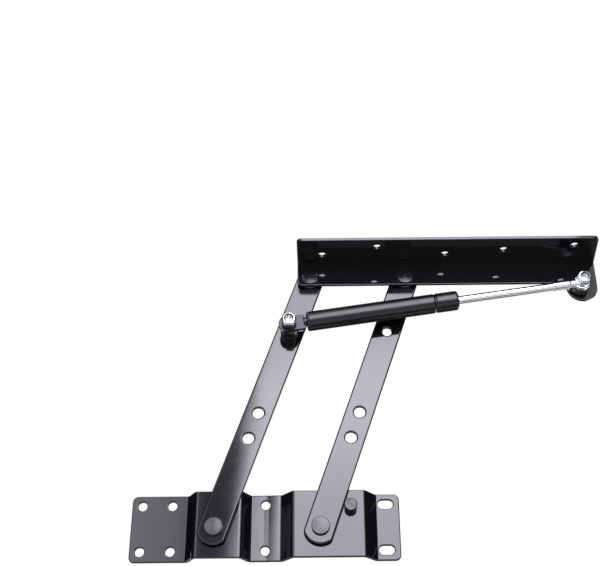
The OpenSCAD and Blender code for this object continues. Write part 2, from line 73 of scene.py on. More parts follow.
# Materials
def hexColour(text):
    # sRGB hex to linear RGBA
    parts = np.array([int(text[i:i + 2], 16) for i in (1, 3, 5)]) / 255
    linear = np.where(parts <= 0.04045, parts / 12.92, ((parts + 0.055) / 1.055) ** 2.4)
    return (*[float(v) for v in linear], 1.0)


def addNode(tree, kind, settings=None, links=None):
    # adds one node; settings go to its inputs or properties, links join its inputs to sockets
    node = tree.nodes.new(kind)
    for key, value in (settings or {}).items():
        if isinstance(key, int) or key in node.inputs:
            node.inputs[key].default_value = value
        else:
            setattr(node, key, value)
    for key, socket in (links or {}).items():
        tree.links.new(socket, node.inputs[key])
    return node


def newMaterial(name):
    # a material without nodes, and its node tree
    material = bpy.data.materials.new(name)
    material.use_nodes = True
    material.node_tree.nodes.clear()
    return material, material.node_tree


def finishMaterial(tree, settings, links):
    # the one Principled shader and the output
    shader = addNode(tree, "ShaderNodeBsdfPrincipled", settings, links)
    addNode(tree, "ShaderNodeOutputMaterial", {}, {"Surface": shader.outputs["BSDF"]})


def noiseOf(tree, vector, size, detail=2.0):
    # cloudy pattern whose patches are about size metres wide
    return addNode(
        tree, "ShaderNodeTexNoise", {"Scale": 1 / size, "Detail": detail}, {"Vector": vector}
    ).outputs["Fac"]


def between(tree, value, start, end, low, high):
    # value from start to end becomes low to high, with soft ends
    return addNode(
        tree, "ShaderNodeMapRange",
        {
            "interpolation_type": "SMOOTHSTEP",
            "From Min": start, "From Max": end, "To Min": low, "To Max": high,
        },
        {"Value": value},
    ).outputs["Result"]


def blend(tree, factor, first, second):
    # colour from the first hex to the second
    ramp = addNode(tree, "ShaderNodeValToRGB", {}, {"Fac": factor})
    ramp.color_ramp.elements[0].color = hexColour(first)
    ramp.color_ramp.elements[1].color = hexColour(second)
    return ramp.outputs["Color"]


def edgeMask(tree, radius, breakup):
    # 1 where the surface turns within radius, broken up by a pattern: where handling rubs first
    rounded = addNode(tree, "ShaderNodeBevel", {"samples": 4, "Radius": radius}).outputs["Normal"]
    true = addNode(tree, "ShaderNodeNewGeometry").outputs["Normal"]
    same = addNode(tree, "ShaderNodeVectorMath", {"operation": "DOT_PRODUCT"}, {0: rounded, 1: true})
    turned = between(tree, same.outputs["Value"], 0.995, 0.86, 0.0, 1.0)
    return addNode(tree, "ShaderNodeMath", {"operation": "MULTIPLY"}, {0: turned, 1: breakup}).outputs[0]


def stoveEnamel():
    # Black stove enamel on pressed steel, dipped and baked: a glossy skin that mirrors a soft box with
    # slightly blurred rims, faint orange peel and sag, a few dust nibs, thinner and greyer at the edges
    look = {
        "skin": "#0b0c0f", "rubbedEdge": "#26282d",
        "smooth": 0.05, "hazy": 0.095,
        "cloudSize": 34 * mm, "peelSize": 1.5 * mm, "peelDepth": 0.0035 * mm,
        "sagSize": 26 * mm, "sagDepth": 0.06 * mm,
        "nibSpacing": 9 * mm, "nibDepth": 0.03 * mm,
        "edgeReach": 0.9 * mm, "edgePatch": 3.5 * mm, "edgeRoughness": 0.16,
    }
    material, tree = newMaterial("blackStoveEnamel")
    place = addNode(tree, "ShaderNodeTexCoord").outputs["Object"]
    cloud = noiseOf(tree, place, look["cloudSize"], 4.0)
    patches = between(tree, noiseOf(tree, place, look["edgePatch"], 3.0), 0.35, 0.65, 0.2, 1.0)
    rubbed = edgeMask(tree, look["edgeReach"], patches)
    colour = blend(tree, rubbed, look["skin"], look["rubbedEdge"])
    haze = between(tree, cloud, 0.3, 0.7, look["smooth"], look["hazy"])
    rough = addNode(
        tree, "ShaderNodeMath", {"operation": "MULTIPLY_ADD", 1: look["edgeRoughness"]},
        {0: rubbed, 2: haze},
    ).outputs[0]
    nib = addNode(tree, "ShaderNodeTexVoronoi", {"Scale": 1 / look["nibSpacing"]}, {"Vector": place})
    nibHeight = between(tree, nib.outputs["Distance"], 0.05, 0.0, 0.0, 1.0)
    sag = addNode(
        tree, "ShaderNodeBump", {"Strength": 1.0, "Distance": look["sagDepth"]},
        {"Height": noiseOf(tree, place, look["sagSize"], 0.0)},
    )
    peel = addNode(
        tree, "ShaderNodeBump", {"Strength": 1.0, "Distance": look["peelDepth"]},
        {"Height": noiseOf(tree, place, look["peelSize"]), "Normal": sag.outputs["Normal"]},
    )
    bump = addNode(
        tree, "ShaderNodeBump", {"Strength": 1.0, "Distance": look["nibDepth"]},
        {"Height": nibHeight, "Normal": peel.outputs["Normal"]},
    )
    finishMaterial(
        tree, {"IOR": 1.65}, {"Base Color": colour, "Roughness": rough, "Normal": bump.outputs["Normal"]}
    )
    return material


def blackenedSteel():
    # Cold-formed rivet steel under the same black dip: faint turning rings, rims rubbed greyer
    look = {
        "skin": "#0c0d10", "rim": "#33353a",
        "smooth": 0.13, "hazy": 0.24,
        "patchSize": 2.2 * mm, "ringPitch": 0.45 * mm, "ringDepth": 0.006 * mm,
        "edgeReach": 0.8 * mm,
    }
    material, tree = newMaterial("blackenedRivetSteel")
    place = addNode(tree, "ShaderNodeAttribute", {"attribute_name": "ownPlace"}).outputs["Vector"]
    radial = addNode(tree, "ShaderNodeVectorMath", {"operation": "MULTIPLY", 1: (1, 1, 0)}, {0: place})
    radius = addNode(tree, "ShaderNodeVectorMath", {"operation": "LENGTH"}, {0: radial.outputs[0]})
    turns = addNode(
        tree, "ShaderNodeMath", {"operation": "MULTIPLY", 1: 2 * math.pi / look["ringPitch"]},
        {0: radius.outputs["Value"]},
    )
    rings = addNode(tree, "ShaderNodeMath", {"operation": "SINE"}, {0: turns.outputs[0]})
    patch = noiseOf(tree, place, look["patchSize"], 4.0)
    rubbed = edgeMask(tree, look["edgeReach"], between(tree, patch, 0.35, 0.6, 0.35, 1.0))
    bump = addNode(
        tree, "ShaderNodeBump", {"Strength": 1.0, "Distance": look["ringDepth"]},
        {"Height": rings.outputs[0]},
    )
    finishMaterial(
        tree, {"IOR": 1.65},
        {
            "Base Color": blend(tree, rubbed, look["skin"], look["rim"]),
            "Roughness": between(tree, patch, 0.3, 0.7, look["smooth"], look["hazy"]),
            "Normal": bump.outputs["Normal"],
        },
    )
    return material


def tubeLacquer():
    # Black lacquer over drawn steel tube: deep gloss with fine lines along the tube's length
    look = {
        "skin": "#0b0c0e", "thin": "#17181b",
        "smooth": 0.19, "hazy": 0.28,
        "lineWidth": 0.5 * mm, "lineLength": 22 * mm, "lineDepth": 0.004 * mm, "cloudSize": 11 * mm,
    }
    material, tree = newMaterial("blackLacqueredTube")
    place = addNode(tree, "ShaderNodeTexCoord").outputs["Object"]
    levelled = addNode(
        tree, "ShaderNodeVectorRotate", {"rotation_type": "Y_AXIS", "Angle": strutRise}, {"Vector": place}
    )
    stretched = addNode(
        tree, "ShaderNodeVectorMath",
        {"operation": "MULTIPLY", 1: (look["lineWidth"] / look["lineLength"], 1, 1)},
        {0: levelled.outputs["Vector"]},
    )
    lines = noiseOf(tree, stretched.outputs[0], look["lineWidth"], 3.0)
    cloud = noiseOf(tree, place, look["cloudSize"], 4.0)
    thinned = between(tree, lines, 0.5, 0.72, 0.0, 1.0)
    bump = addNode(
        tree, "ShaderNodeBump", {"Strength": 1.0, "Distance": look["lineDepth"]}, {"Height": lines}
    )
    finishMaterial(
        tree, {},
        {
            "Base Color": blend(tree, thinned, look["skin"], look["thin"]),
            "Roughness": between(tree, cloud, 0.3, 0.7, look["smooth"], look["hazy"]),
            "Normal": bump.outputs["Normal"],
        },
    )
    return material


def zincPlate():
    # Bright zinc-plated steel, barrel-polished: silvery and slightly mottled
    look = {
        "light": "#f6f7f8", "dark": "#e2e4e7", "smooth": 0.12, "hazy": 0.24,
        "patchSize": 1.6 * mm, "dentSize": 0.6 * mm, "dentDepth": 0.004 * mm,
    }
    material, tree = newMaterial("zincPlatedSteel")
    place = addNode(tree, "ShaderNodeTexCoord").outputs["Object"]
    patch = noiseOf(tree, place, look["patchSize"], 5.0)
    bright = between(tree, patch, 0.35, 0.6, 0.0, 1.0)
    bump = addNode(
        tree, "ShaderNodeBump", {"Strength": 1.0, "Distance": look["dentDepth"]},
        {"Height": noiseOf(tree, place, look["dentSize"])},
    )
    finishMaterial(
        tree, {"Metallic": 1.0},
        {
            "Base Color": blend(tree, bright, look["dark"], look["light"]),
            "Roughness": between(tree, patch, 0.3, 0.7, look["smooth"], look["hazy"]),
            "Normal": bump.outputs["Normal"],
        },
    )
    return material


def hardChrome():
    # Hard-chromed rod, ground and polished: a near mirror with faint grinding marks round it
    look = {
        "light": "#fbfbfa", "dark": "#f3f3f3", "smooth": 0.08, "hazy": 0.12,
        "markWidth": 1.4 * mm, "markLength": 30 * mm, "markDepth": 0.0001 * mm, "hazeSize": 7 * mm,
    }
    material, tree = newMaterial("hardChromedRod")
    place = addNode(tree, "ShaderNodeAttribute", {"attribute_name": "ownPlace"}).outputs["Vector"]
    ratio = look["markWidth"] / look["markLength"]
    squeezed = addNode(
        tree, "ShaderNodeVectorMath", {"operation": "MULTIPLY", 1: (ratio, ratio, 1)}, {0: place}
    )
    marks = noiseOf(tree, squeezed.outputs[0], look["markWidth"], 3.0)
    haze = noiseOf(tree, place, look["hazeSize"], 3.0)
    bump = addNode(
        tree, "ShaderNodeBump", {"Strength": 1.0, "Distance": look["markDepth"]}, {"Height": marks}
    )
    finishMaterial(
        tree, {"Metallic": 1.0},
        {
            "Base Color": blend(tree, haze, look["dark"], look["light"]),
            "Roughness": between(tree, haze, 0.3, 0.7, look["smooth"], look["hazy"]),
            "Normal": bump.outputs["Normal"],
        },
    )
    return material


def softFinish(name, dark, light, smooth, hazy, grainSize, grainDepth):
    # moulded plastic or rubber: fine grain, and a sheen that varies over many grains
    material, tree = newMaterial(name)
    place = addNode(tree, "ShaderNodeTexCoord").outputs["Object"]
    patchSize = 14 * grainSize
    grain = noiseOf(tree, place, grainSize, 3.0)
    patch = noiseOf(tree, place, patchSize, 3.0)
    bump = addNode(tree, "ShaderNodeBump", {"Strength": 1.0, "Distance": grainDepth}, {"Height": grain})
    finishMaterial(
        tree, {"IOR": 1.5},
        {
            "Base Color": blend(tree, patch, dark, light),
            "Roughness": between(tree, patch, 0.3, 0.7, smooth, hazy),
            "Normal": bump.outputs["Normal"],
        },
    )
    return material


# One finish for each material slot of the CAD model
finishes = {
    "black_paint": stoveEnamel(),
    "rivet_black": blackenedSteel(),
    "strut_black": tubeLacquer(),
    # Black acetal, injection-moulded and tumbled: satin with a fine grain
    "bush_black": softFinish(
        "blackMouldedAcetal", "#0d0e10", "#16171a", 0.24, 0.38, 0.35 * mm, 0.006 * mm
    ),
    "zinc": zincPlate(),
    "rod_chrome": hardChrome(),
    # Blue nylon, moulded and cut by the thread: waxy and dull; its blue is darkened to near-black navy,
    # painted shade for the shaded hole in the nut
    "nylon": softFinish("blueNylonPaintedShade", "#151c2b", "#232d42", 0.4, 0.55, 0.3 * mm, 0.01 * mm),
    # Nitrile rubber, moulded: dull black
    "seal_rubber": softFinish("blackNitrileRubber", "#0c0c0c", "#161616", 0.5, 0.7, 0.4 * mm, 0.01 * mm),
}
# Every CAD node gets its finish; the ones that are replaced below don't show
for name, piece in nodes.items():
    for slot in piece.material_slots:
        slot.material = finishes[slotOf[name]]
print("materials assigned")


# Turned pieces
smoothBelow = math.radians(32)  # edges that turn by less are shaded smooth
plateSheet = 2.5
bracketSheet = 2.5
padRise = 10.5  # from the wall to the back of the raised pads


def softProfile(corners, steps=6):
    # each corner [radius, height, round] becomes b(t) = (1-t)^2 a + 2t(1-t) c + t^2 b, with a and b at the
    # distance round from corner c; a guard point beyond each keeps the faces beside it flat
    corners = [tuple(corner) + (0,) * (3 - len(corner)) for corner in corners]
    t = np.linspace(0, 1, steps)[:, None]
    rows = []
    for i, (radius, height, reach) in enumerate(corners):
        corner = np.array([radius, height], float)
        if reach == 0:
            rows.append(corner[None])
            continue
        before = np.array(corners[i - 1][:2], float) - corner
        after = np.array(corners[(i + 1) % len(corners)][:2], float) - corner
        before *= reach / np.linalg.norm(before)
        after *= reach / np.linalg.norm(after)
        a, b = corner + before, corner + after
        curve = (1 - t) ** 2 * a + 2 * t * (1 - t) * corner + t ** 2 * b
        rows.append(np.concatenate([[corner + 1.2 * before], curve, [corner + 1.2 * after]]))
    return np.concatenate(rows)


def domeRows(radius, base, rise, count=12):
    # cap from its rim to its middle, h(r) = base + rise (1 - (r / radius)^2)
    r = np.linspace(radius, 0, count)
    return [(float(a), float(b)) for a, b in zip(r, base + rise * (1 - (r / radius) ** 2))]


def turnedPiece(node, centre, axis, side, profile, columns=96, reshape=None, title=None):
    # p(u, k) = centre + r(u, k) (side cos u + up sin u) + h(k) axis, with up = axis x side; a profile that
    # leaves and meets the axis gets a pole at each end, any other closes on itself as a ring
    up = np.cross(axis, side)
    profile = np.array(profile, float)
    rows = profile[profile[:, 0] > 1e-6]
    poles = profile[profile[:, 0] <= 1e-6][:, 1]
    count = len(rows)
    u = 2 * math.pi * np.arange(columns)[None] / columns
    height = np.repeat(rows[:, 1:], columns, 1)
    radius = np.repeat(rows[:, :1], columns, 1)
    if reshape:
        radius = reshape(u, radius, height)
    own = np.stack([radius * np.cos(u), radius * np.sin(u), height], -1).reshape(-1, 3)
    own = np.concatenate([own, np.column_stack([np.zeros((len(poles), 2)), poles])])
    column = np.arange(columns)
    nextColumn = (column + 1) % columns
    row = np.arange(count - 1 if len(poles) else count)[:, None]
    nextRow = (row + 1) % count
    quads = np.stack(np.broadcast_arrays(
        row * columns + column, row * columns + nextColumn,
        nextRow * columns + nextColumn, nextRow * columns + column,
    ), -1).reshape(-1, 4).tolist()
    if len(poles):
        firstPole = np.full(columns, count * columns)
        last = (count - 1) * columns
        quads += np.column_stack([firstPole, nextColumn, column]).tolist()
        quads += np.column_stack([firstPole + 1, last + column, last + nextColumn]).tolist()
    basis = np.array([side, up, axis])
    points = (np.array(centre) + own @ basis) * mm
    words = node.split("_")
    name = title or words[0] + "".join(word.capitalize() for word in words[1:])
    mesh = bpy.data.meshes.new(name)
    mesh.from_pydata(points.tolist(), [], quads)
    attribute = mesh.attributes.new("ownPlace", "FLOAT_VECTOR", "POINT")
    attribute.data.foreach_set("vector", (own * mm).astype(np.float32).ravel())
    mesh.shade_smooth()
    mesh.set_sharp_from_angle(angle=smoothBelow)
    mesh.materials.append(finishes[slotOf[node]])
    piece = bpy.data.objects.new(name, mesh)
    bpy.context.scene.collection.objects.link(piece)
    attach(piece, bodyOf[node])
    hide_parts(node)


def frontPiece(node, profile, **options):
    # turned about a line towards the viewer; heights are depths in front of the wall, in mm
    centre = middle(node) * [1, 0, 1]
    turnedPiece(node, centre, towardsViewer, sideways, profile, **options)


def strutPiece(node, profile, **options):
    # turned about the strut; heights are distances from the stud on the rear arm, in mm
    turnedPiece(node, strutStart, strutAxis, towardsViewer, profile, **options)


def depths(node):
    # back and front of a node as depths in front of the wall, in mm
    low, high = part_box(node)
    return -high[1] / mm, -low[1] / mm


def radiusOf(node):
    # half the width of a round node, in mm
    low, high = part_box(node)
    return (high[0] - low[0]) / mm / 2


# Lengths in mm; a face's crown starts faceInset inside the head's rim
rivetLook = {
    "shank": 4.0, "tailRise": 1.7, "tailRim": 0.5, "cornerRound": 0.2, "faceInset": 1.3, "crownShare": 0.9,
}
lowerHead = {"crown": 0.16, "rimRound": 0.6}
upperHead = {"crown": 0.14, "rimRound": 0.9}


def pivotRivet(node, headLook, flangeBack, flangeFront):
    # formed tail behind, straight shank, headed front with a rolled rim; tail and face are domeRows caps
    crown = headLook["crown"]
    shank, soft, tailRim = (rivetLook[key] for key in ("shank", "cornerRound", "tailRim"))
    front = depths(node)[1]
    head = radiusOf(node)
    dome = domeRows(head, flangeBack + tailRim, rivetLook["tailRise"])
    tail = [(r, 2 * flangeBack - h) for r, h in dome][::-1]
    rim = [
        (head, flangeBack - tailRim, soft), (head, flangeBack, soft), (shank, flangeBack, soft),
        (shank, flangeFront, soft), (head, flangeFront, soft), (head, front - crown, headLook["rimRound"]),
    ]
    rise = rivetLook["crownShare"] * crown
    top = domeRows(head - rivetLook["faceInset"], front - rise, rise)
    rounded = softProfile([tail[-2]] + rim + top[:1])[1:-1]
    frontPiece(node, np.concatenate([np.array(tail[:-1]), rounded, np.array(top)]))


armBack, armFront = depths("rear_arm")
headThickness = 2  # the upper heads lie on the bracket's web
bracketFront = depths("rear_upper_rivet")[1] - headThickness
flangeGap = 0.1  # the flange that faces a turning arm stands this far off it
for node in ("rear_lower_rivet", "front_lower_rivet"):
    pivotRivet(node, lowerHead, padRise, armFront + flangeGap)
for node in ("rear_upper_rivet", "front_upper_rivet"):
    pivotRivet(node, upperHead, armBack - flangeGap, bracketFront)


washerLook = {"rivetBore": 4.02, "rivetRim": 0.3, "studBore": 3.02, "studRim": 0.5, "boreRound": 0.15}


def washer(node, kind):
    # flat punched ring with rolled rims
    back, front = depths(node)
    outer = radiusOf(node)
    bore, rim, soft = washerLook[kind + "Bore"], washerLook[kind + "Rim"], washerLook["boreRound"]
    frontPiece(node, softProfile([
        (bore, back, soft), (outer, back, rim), (outer, front, rim), (bore, front, soft),
    ]))


for node in ("rear_lower_washer", "front_lower_washer", "rear_upper_washer", "front_upper_washer"):
    washer(node, "rivet")
washer("tube_stud_washer", "stud")
washer("rod_stud_washer", "stud")


def stopPin():
    # thick headed pin: rolled rim, face dished with the lathe's rings, riveted tail behind the pad
    # h(r) = front - dish (1 - r / pin) - ringDepth (1 - cos(2 pi r / ringPitch)) / 2 on the face
    look = {
        "shank": 3.6, "pin": 4.6, "ringPitch": 0.8, "ringDepth": 0.06, "dish": 0.12, "faceInset": 0.75,
    }
    back, front = depths("stop_pin")
    tail = radiusOf("stop_pin")
    padFront = padRise + plateSheet
    r = np.linspace(look["pin"] - look["faceInset"], 0, 44)
    ring = look["ringDepth"] * (0.5 - 0.5 * np.cos(2 * math.pi * r / look["ringPitch"]))
    face = np.column_stack([r, front - look["dish"] * (1 - r / look["pin"]) - ring])
    body = softProfile([
        (0, back), (tail, back, 0.7), (tail, padRise, 0.3), (look["shank"], padRise, 0.3),
        (look["shank"], padFront, 0.2), (look["pin"], padFront, 0.2), (look["pin"], front, 0.55),
        (look["pin"] - look["faceInset"], front - 0.02),
    ])[:-1]
    frontPiece("stop_pin", np.concatenate([body, face]))


stopPin()


bushLook = {
    "bore": 3.02, "waistDepth": 0.35, "backCollar": 2.4, "frontCollar": 2.0, "slope": 0.4, "rimRound": 0.7,
}


def shoulderBush(node):
    # moulded bush: rounded rims and a shallow waist between its two collars
    back, front = depths(node)
    outer = radiusOf(node)
    waist = outer - bushLook["waistDepth"]
    bore, rim, slope = bushLook["bore"], bushLook["rimRound"], bushLook["slope"]
    waistBack = back + bushLook["backCollar"]
    waistFront = front - bushLook["frontCollar"]
    frontPiece(node, softProfile([
        (bore, back, 0.2), (outer, back, rim), (outer, waistBack, 0.3), (waist, waistBack + slope, 0.3),
        (waist, waistFront - slope, 0.3), (outer, waistFront, 0.3), (outer, front, rim), (bore, front, 0.2),
    ]))


shoulderBush("tube_stud_bush")
shoulderBush("rod_stud_bush")


threadLook = {
    "pitch": 1.0, "depth": 0.36, "length": 5.5, "recess": 2.1, "recessDepth": 1.5, "lobes": 0.16,
    "sink": 2.1,  # the visible end lies this much deeper than the CAD stud's
}


def studShape(tip):
    # r(u, h) = r - depth |2 frac(h / pitch - u / 2 pi) - 1| on the thread; the driver recess in the end
    # face has six lobes, r(u) = r (1 + lobes cos 6u)
    def reshape(u, radius, height):
        phase = np.mod(height / threadLook["pitch"] - u / (2 * math.pi), 1)
        cut = threadLook["depth"] * np.abs(2 * phase - 1)
        threaded = (height > tip - threadLook["length"]) & (radius > 2.95)
        lobed = (height > tip - 2) & (radius < threadLook["recess"] + 0.05)
        radius = np.where(threaded, radius - cut, radius)
        return np.where(lobed, radius * (1 + threadLook["lobes"] * np.cos(6 * u)), radius)
    return reshape


def studTip(tip):
    # rows of radius and height: the thread, its chamfer, the end face, the recess's wall and floor
    rows = [(3.0, h) for h in np.linspace(tip - threadLook["length"] - 0.3, tip - 0.5, 56)]
    floor = tip - threadLook["recessDepth"]
    rows += [(2.6, tip - 0.05), (2.5, tip), (2.3, tip), (2.1, tip - 0.02), (1.95, tip - 0.12)]
    rows += [(1.8, floor + 0.1), (1.6, floor), (0.9, floor - 0.1), (0, floor - 0.16)]
    return rows


def studTail(face):
    # riveted collar, dished in the middle
    return softProfile([
        (0, face - 0.4), (1.5, face - 0.4, 0.3), (2.5, face - 1.2, 0.3), (4.5, face - 1.2, 0.2),
        (5, face - 0.7, 0.2), (5, face, 0.1), (3, face, 0.1), (3, face + 2),
    ]).tolist()


tubeTip = depths("tube_stud")[1] - threadLook["sink"]
frontPiece("tube_stud", studTail(armBack) + studTip(tubeTip), reshape=studShape(tubeTip))
rodFoot, rodTip = depths("rod_stud")
rodTip -= threadLook["sink"]
rodFootRows = [(0, rodFoot), (2.9, rodFoot), (3, rodFoot + 0.1)]
frontPiece("rod_stud", rodFootRows + studTip(rodTip), reshape=studShape(rodTip))
tailEndRows = [(3, bracketFront - 0.1), (2.9, bracketFront), (0, bracketFront)]
frontPiece("rod_stud_tail", studTail(bracketFront - bracketSheet) + tailEndRows)


def lockNut(node):
    # six flats cut by a cone, r(u, h) = min(af / 2 / cos(u mod 60 - 30), cone(h)), then the collar
    # rolled in over its nylon ring
    look = {"halfFlats": 5.0, "bore": 3.02, "ringSeat": 4.04, "collar": 4.62, "hexHeight": 3.4}
    back, front = depths(node)
    hexFront = back + look["hexHeight"]
    corner = look["halfFlats"] / math.cos(math.pi / 6)
    profile = softProfile([
        (look["bore"] + 0.2, back, 0.1), (corner - 0.45, back, 0.1), (corner, back + 0.28, 0.1),
        (corner, hexFront - 0.55, 0.15), (look["halfFlats"] - 0.05, hexFront - 0.05, 0.12),
        (look["collar"] + 0.1, hexFront + 0.05, 0.1),
        (look["collar"], front - 0.1, 0.75), (look["ringSeat"] - 0.02, front, 0.22),
        (look["ringSeat"], front - 0.5, 0.1),
        (look["ringSeat"], front - 1.9, 0.1), (look["bore"], front - 1.9, 0.1),
        (look["bore"], back + 0.2, 0.1),
    ])

    def reshape(u, radius, height):
        flats = look["halfFlats"] / np.cos(np.mod(u, math.pi / 3) - math.pi / 6)
        return np.minimum(radius, flats)

    frontPiece(node, profile, columns=144, reshape=reshape)


def nutInsert(node):
    # nylon ring with a softened mouth
    look = {"bore": 3.02, "outer": 4.02, "outerRound": 0.25, "mouthRound": 0.3}
    back, front = depths(node)
    frontPiece(node, softProfile([
        (look["bore"], back, 0.1), (look["outer"], back, 0.1),
        (look["outer"], front, look["outerRound"]), (look["bore"], front, look["mouthRound"]),
    ]))


for node in ("tube_lock_nut", "rod_lock_nut"):
    lockNut(node)
for node in ("tube_nut_insert", "rod_nut_insert"):
    nutInsert(node)
print("rivets, pins, studs and nuts made")

# Radii and lengths in mm. The two starts count from the stud on the rear arm; fitting, shoulder and tip
# count back from the other stud, grooveBack from the tube's mouth
strutLook = {
    "tubeStart": 13.6, "tubeLength": 117.5, "tube": 7.5, "tubeBore": 6.3, "grooveBack": 18, "groove": 6.98,
    "lip": 4.5, "lipThickness": 1.2, "rodStart": 105.9, "rod": 3.0, "thread": 2.3, "threadLength": 9,
    "fitting": 23, "fittingRadius": 3.5, "shoulder": 8.0, "tip": 3.7,
    "neckDepth": 0.35, "neckBack": 2.6, "neckLength": 3.0, "widening": 0.35,
    "eyeRadius": 6.4, "eyeHalf": 2.3, "eyeBore": 3.05,
}


def gasTube():
    # drawn tube: its base end pressed over the plug, one rolled groove, mouth rolled in over the guide
    start = strutLook["tubeStart"]
    mouth = start + strutLook["tubeLength"]
    groove = mouth - strutLook["grooveBack"]
    r, bore = strutLook["tube"], strutLook["tubeBore"]
    strutPiece("gas_tube", softProfile([
        (bore, start, 0.15), (r - 0.5, start, 0.35), (r, start + 1.4, 0.7), (r, groove - 1.3, 0.5),
        (strutLook["groove"], groove - 0.35, 0.3), (strutLook["groove"], groove + 0.35, 0.3),
        (r, groove + 1.3, 0.5), (r, mouth - 1.5, 0.7), (r - 0.75, mouth - 0.35, 0.4), (r - 1.6, mouth, 0.35),
        (strutLook["lip"], mouth, 0.3), (strutLook["lip"], mouth - strutLook["lipThickness"], 0.2),
        (bore, mouth - strutLook["lipThickness"], 0.2),
    ]), columns=128)


def gasRod():
    # ground rod; its thinner threaded end sits in the fitting
    start = strutLook["rodStart"]
    end = strutLength - strutLook["fitting"]
    threadEnd = end + strutLook["threadLength"]
    r, thread = strutLook["rod"], strutLook["thread"]
    strutPiece("gas_rod", softProfile([
        (0, start), (r, start, 0.4), (r, 132.0), (r, 150.0), (r, 168.0), (r, 186.0), (r, end, 0.25),
        (thread, end, 0.1), (thread, threadEnd, 0.3), (0, threadEnd),
    ]))


def rodFitting():
    # turned socket that flares into a shoulder and is pressed flat towards the eye:
    # r(u, s) = 1 / sqrt((cos u / depth(s))^2 + (sin u / width(s))^2)
    end = strutLength - strutLook["fitting"]
    shoulder = strutLength - strutLook["shoulder"]
    tip = strutLength - strutLook["tip"]
    r, half = strutLook["fittingRadius"], strutLook["eyeHalf"]

    def reshape(u, radius, height):
        pressed = np.clip((height - shoulder) / (tip - shoulder), 0, 1)
        pressed = pressed * pressed * (3 - 2 * pressed)
        depth = 1 + pressed * ((half - 0.25) / r - 1)
        width = 1 + pressed * strutLook["widening"]
        ellipse = radius / np.sqrt((np.cos(u) / depth) ** 2 + (np.sin(u) / width) ** 2)
        return np.where(radius > strutLook["thread"] + 0.05, ellipse, radius)

    neckStart = shoulder - strutLook["neckBack"]
    neck = [
        (r - strutLook["neckDepth"] * math.sin(math.pi * t) ** 2, neckStart + strutLook["neckLength"] * t)
        for t in np.linspace(0, 1, 10)
    ]
    bore = strutLook["thread"] + 0.02
    floor = end + strutLook["threadLength"] + 0.1
    socket = softProfile([
        (0, floor), (bore, floor, 0.1), (bore, end, 0.1), (r - 0.25, end, 0.12), (r, end + 0.45, 0.15),
        (r, neckStart - 0.1, 0.1),
    ]).tolist()
    flat = [(r, h) for h in np.linspace(shoulder + 0.6, tip - 0.1, 8)]
    strutPiece("rod_end_eye", socket + neck + flat + [(r - 0.3, tip), (0, tip)], title="rodFitting")


def rodEye():
    # round eye across the stud: r(v) on a rounded rectangle, soft rims where it was pressed
    half, outer, bore = strutLook["eyeHalf"], strutLook["eyeRadius"], strutLook["eyeBore"]
    turnedPiece("rod_end_eye", strutEnd, towardsViewer, sideways, softProfile([
        (bore, -half, 0.3), (outer - 0.05, -half, 1.0), (outer, 0, 0.9), (outer - 0.05, half, 1.0),
        (bore, half, 0.3),
    ]), title="rodEyeRing")


gasTube()
gasRod()
rodFitting()
rodEye()
print("strut made")


# Pressed and sheared sheet parts
weldReach = 0.002 * mm
flatAngle = math.radians(0.6)  # faces that turn by less are one flat
sharpAngle = math.radians(35)
bendRadius = 2.0
bendCorner = np.array([-bracketFront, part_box("top_bracket")[1][2] / mm - bracketSheet])
bowLook = {"from": -9.0, "to": 9.2, "fade": 13.5, "rise": 0.4, "cutEvery": 0.6}


def meshPoints(mesh):
    # a mesh's points, in mm
    points = np.empty(3 * len(mesh.vertices), np.float32)
    mesh.vertices.foreach_get("co", points)
    return points.reshape(-1, 3).astype(float) / mm


def reshapedCopy(node, title, cuts, move):
    # merged copy of a CAD node, cut along the planes x = cuts, its points moved by move(points) in mm
    copy = nodes[node].data.copy()
    copy.name = title
    bm = bmesh.new()
    bm.from_mesh(copy)
    bmesh.ops.remove_doubles(bm, verts=bm.verts, dist=weldReach)
    bmesh.ops.dissolve_limit(bm, angle_limit=flatAngle, verts=bm.verts, edges=bm.edges)
    for x in cuts:
        everything = bm.verts[:] + bm.edges[:] + bm.faces[:]
        bmesh.ops.bisect_plane(bm, geom=everything, plane_co=(x * mm, 0, 0), plane_no=(1, 0, 0))
    bm.to_mesh(copy)
    moved = move(meshPoints(copy))
    copy.vertices.foreach_set("co", (moved * mm).astype(np.float32).ravel())
    bm.clear()
    bm.from_mesh(copy)
    bmesh.ops.remove_doubles(bm, verts=bm.verts, dist=weldReach)
    bmesh.ops.dissolve_degenerate(bm, edges=bm.edges, dist=0.001 * mm)
    bm.to_mesh(copy)
    bm.free()
    piece = bpy.data.objects.new(title, copy)
    bpy.context.scene.collection.objects.link(piece)
    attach(piece, bodyOf[node])
    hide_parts(node)
    return piece


def closeBend(points):
    # the inner bend is pressed sharp: points of its arc go to the corner of the two flat faces
    near = 0.02
    section = points[:, 1:]
    centre = bendCorner - bendRadius
    reach = np.hypot(*(section - centre).T)
    arc = (np.abs(reach - bendRadius) < near) & np.all(section >= centre - near, axis=1)
    points[arc, 1:] = bendCorner
    return points


def weighSharpEdges(piece, keepSharp):
    # marks every edge of 35 degrees or more for rounding, but for those whose middle keepSharp picks
    bm = bmesh.new()
    bm.from_mesh(piece.data)
    weight = bm.edges.layers.float.new("bevel_weight_edge")
    for edge in bm.edges:
        middleOfEdge = (edge.verts[0].co + edge.verts[1].co) / 2 / mm
        sharp = len(edge.link_faces) == 2 and edge.calc_face_angle() > sharpAngle
        kept = sharp and keepSharp(middleOfEdge)
        edge[weight] = float(sharp and not kept)
        edge.smooth = not kept
    bm.to_mesh(piece.data)
    bm.free()


def atInnerBend(point):
    # true for a point (in mm) that lies on the line where the bracket's two inner faces meet
    return max(abs(point.y - bendCorner[0]), abs(point.z - bendCorner[1])) < 0.3


